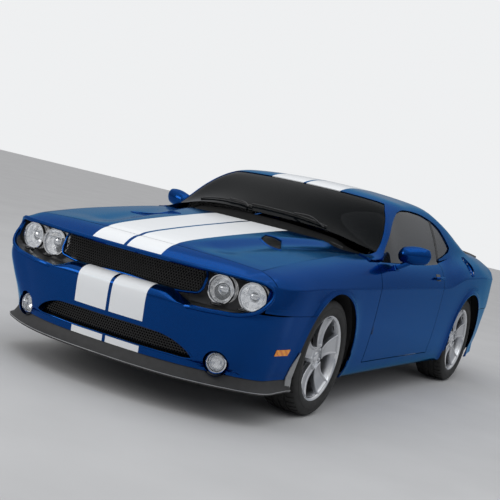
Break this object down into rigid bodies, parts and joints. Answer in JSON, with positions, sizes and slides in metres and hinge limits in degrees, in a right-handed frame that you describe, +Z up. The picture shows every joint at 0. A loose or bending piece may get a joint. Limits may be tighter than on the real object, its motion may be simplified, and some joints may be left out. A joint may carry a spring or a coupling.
{
  "type": "muscle car",
  "caption": "Two-door muscle coupe with long hood, striped blue body, opening doors, hood, trunk lid and fuel door, steered front wheels and rolling tyres.",
  "frame": {"origin": "centre of the car's length and width, on the ground under the tyres", "axes": "+X to the car's left, +Y to its rear, +Z up"},
  "size_m": [2.172, 5.0224, 1.4439],
  "materials": {
    "body_paint": "gloss metallic",
    "black_plastic": "satin",
    "clear_lens": "clear",
    "red_lens": "clear",
    "window_glass": "tinted",
    "chassis_steel": "satin",
    "engine_iron": "cast",
    "exhaust_steel": "brushed",
    "black_leather": "matte",
    "cast_parts": "cast",
    "alloy": "machined",
    "tyre_rubber": "matte"
  },
  "bodies": {
    "body": {"dashboard": "black_plastic", "door_hinges": "chassis_steel", "drive_shaft": "chassis_steel", "engine": "engine_iron", "exhaust": "exhaust_steel", "firewall": "chassis_steel", "floor_pan": "chassis_steel", "fog_lamps": "clear_lens", "front_fascia": "body_paint", "front_seats": "black_leather", "front_splitter": "black_plastic", "front_subframe": "chassis_steel", "grilles": "black_plastic", "headlamps": "clear_lens", "left_front_fender": "body_paint", "left_quarter_panel": "body_paint", "lid_hinges": "chassis_steel", "quarter_windows": "window_glass", "rear_axle": "chassis_steel", "rear_bulkhead": "black_plastic", "rear_bumper": "body_paint", "rear_knuckles": "cast_parts", "rear_seat": "black_leather", "rear_window": "window_glass", "right_front_fender": "body_paint", "right_quarter_panel": "body_paint", "rocker_sills": "body_paint", "roof_frame": "body_paint", "steering_wheel": "black_leather", "tail_lamps": "red_lens", "tail_panel": "body_paint", "wheel_arch_liners": "black_plastic", "windscreen": "window_glass"},
    "left_door": {"left_door": "body_paint", "left_door_glass": "window_glass", "left_mirror": "body_paint"},
    "right_door": {"right_door": "body_paint", "right_door_glass": "window_glass", "right_mirror": "body_paint"},
    "hood": {"hood": "body_paint"},
    "trunk_lid": {"trunk_lid": "body_paint", "rear_spoiler": "black_plastic"},
    "fuel_door": {"fuel_door": "body_paint"},
    "left_front_knuckle": {"left_front_knuckle": "cast_parts"},
    "right_front_knuckle": {"right_front_knuckle": "cast_parts"},
    "left_front_wheel": {"left_front_wheel": "alloy", "left_front_tyre": "tyre_rubber"},
    "right_front_wheel": {"right_front_wheel": "alloy", "right_front_tyre": "tyre_rubber"},
    "left_rear_wheel": {"left_rear_wheel": "alloy", "left_rear_tyre": "tyre_rubber"},
    "right_rear_wheel": {"right_rear_wheel": "alloy", "right_rear_tyre": "tyre_rubber"}
  },
  "joints": [
    {"name": "left_door_hinge", "type": "hinge", "parent": "body", "child": "left_door", "pos_m": [0.93, -0.7465, 0.64], "axis": [0, 0, -1], "range_deg": [0, 62]},
    {"name": "right_door_hinge", "type": "hinge", "parent": "body", "child": "right_door", "pos_m": [-0.93, -0.7465, 0.64], "axis": [0, 0, 1], "range_deg": [0, 62]},
    {"name": "hood_hinge", "type": "hinge", "parent": "body", "child": "hood", "pos_m": [0, -0.8265, 0.965], "axis": [-1, 0, 0], "range_deg": [0, 55]},
    {"name": "trunk_lid_hinge", "type": "hinge", "parent": "body", "child": "trunk_lid", "pos_m": [0, 1.6985, 1.078], "axis": [1, 0, 0], "range_deg": [0, 70]},
    {"name": "fuel_door_hinge", "type": "hinge", "parent": "body", "child": "fuel_door", "pos_m": [0.87785, 1.3105, 0.989], "axis": [0.6884, 0, -0.7254], "range_deg": [0, 95]},
    {"name": "left_steer", "type": "hinge", "parent": "body", "child": "left_front_knuckle", "pos_m": [0.712, -1.4815, 0.364], "axis": [0, 0, 1], "range_deg": [-35, 35]},
    {"name": "right_steer", "type": "hinge", "parent": "body", "child": "right_front_knuckle", "pos_m": [-0.712, -1.4815, 0.364], "axis": [0, 0, 1], "range_deg": [-35, 35]},
    {"name": "left_front_wheel_spin", "type": "hinge", "parent": "left_front_knuckle", "child": "left_front_wheel", "pos_m": [0.801, -1.4815, 0.364], "axis": [1, 0, 0], "continuous": true},
    {"name": "right_front_wheel_spin", "type": "hinge", "parent": "right_front_knuckle", "child": "right_front_wheel", "pos_m": [-0.801, -1.4815, 0.364], "axis": [1, 0, 0], "continuous": true},
    {"name": "left_rear_wheel_spin", "type": "hinge", "parent": "body", "child": "left_rear_wheel", "pos_m": [0.801, 1.4645, 0.364], "axis": [1, 0, 0], "continuous": true},
    {"name": "right_rear_wheel_spin", "type": "hinge", "parent": "body", "child": "right_rear_wheel", "pos_m": [-0.801, 1.4645, 0.364], "axis": [1, 0, 0], "continuous": true}
  ],
  "couplings": [
    {"joint": "right_steer", "follows": "left_steer", "ratio": 1}
  ]
}
